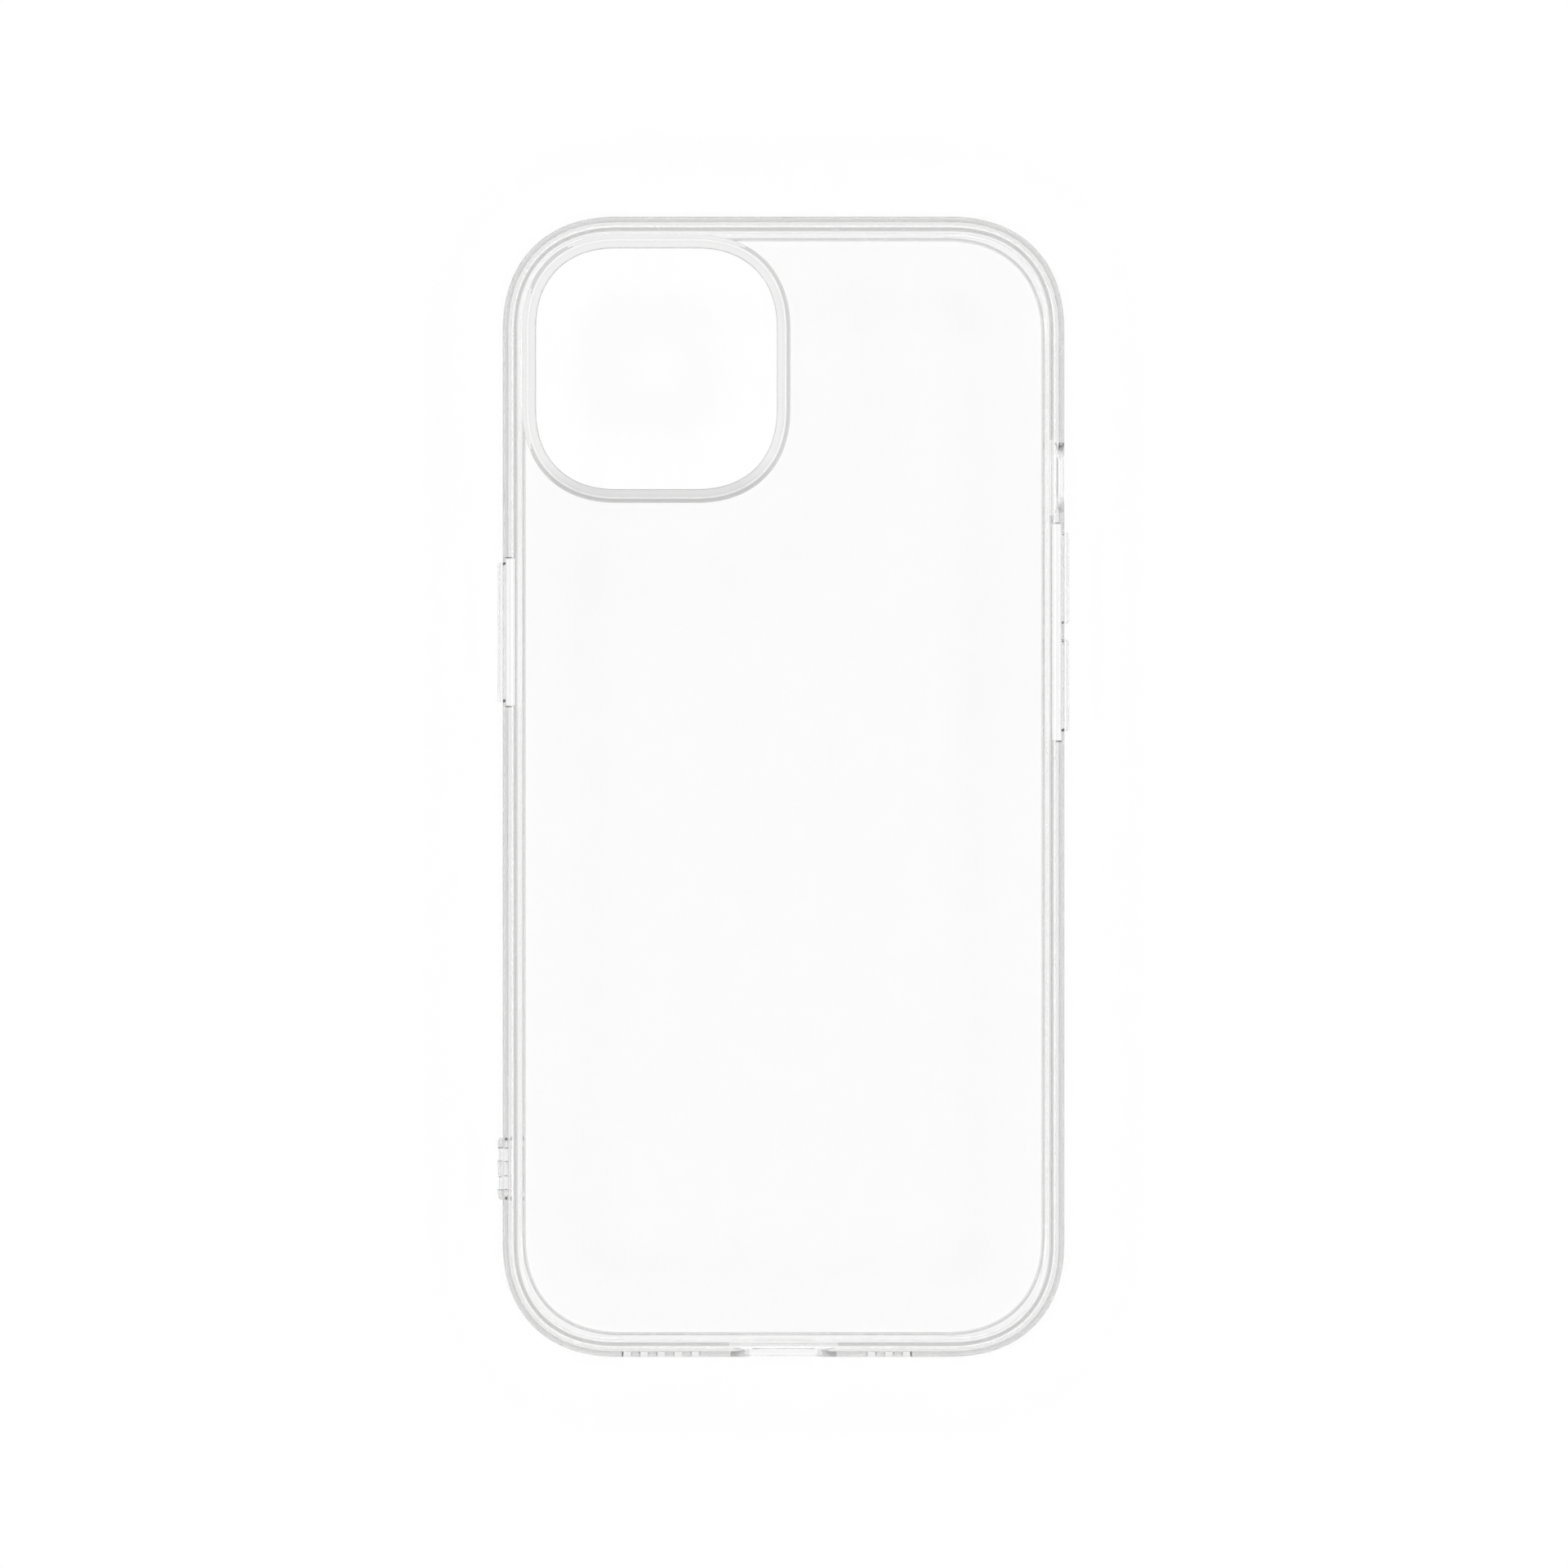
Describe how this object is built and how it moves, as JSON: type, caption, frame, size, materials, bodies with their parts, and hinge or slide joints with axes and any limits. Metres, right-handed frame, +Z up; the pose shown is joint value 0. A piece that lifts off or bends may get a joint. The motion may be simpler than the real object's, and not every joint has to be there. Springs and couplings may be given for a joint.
{
  "type": "phone case",
  "caption": "Clear phone case: a hard back plate in a soft bumper frame, with a raised camera ring, covered side buttons, wall openings and a lanyard bar.",
  "frame": {"origin": "centre of the case's footprint, at the bottom of the front lip that it rests on", "axes": "case lies open side down: +X to the right as seen from the back, the volume buttons' side; +Y along the case, towards the camera opening; +Z up, from the open front to the back plate"},
  "size_m": [0.075, 0.1498, 0.0122],
  "materials": {
    "clear_plate": "clear, polished",
    "clear_soft": "clear, smooth, slightly soft"
  },
  "bodies": {
    "case": {"back_plate": "clear_plate", "bumper_frame": "clear_soft", "camera_ring": "clear_soft", "power_button_web": "clear_soft", "volume_button_web": "clear_soft", "lanyard_bar": "clear_soft"},
    "power_button": {"power_button_pad": "clear_soft"},
    "volume_up_button": {"volume_up_button_pad": "clear_soft"},
    "volume_down_button": {"volume_down_button_pad": "clear_soft"}
  },
  "joints": [
    {"name": "power_button_press", "type": "slide", "parent": "case", "child": "power_button", "axis": [1, 0, 0], "range_m": [0, 0.0004], "stiffness_N_per_m": 2000},
    {"name": "volume_up_press", "type": "slide", "parent": "case", "child": "volume_up_button", "axis": [-1, 0, 0], "range_m": [0, 0.0004], "stiffness_N_per_m": 2000},
    {"name": "volume_down_press", "type": "slide", "parent": "case", "child": "volume_down_button", "axis": [-1, 0, 0], "range_m": [0, 0.0004], "stiffness_N_per_m": 2000}
  ]
}
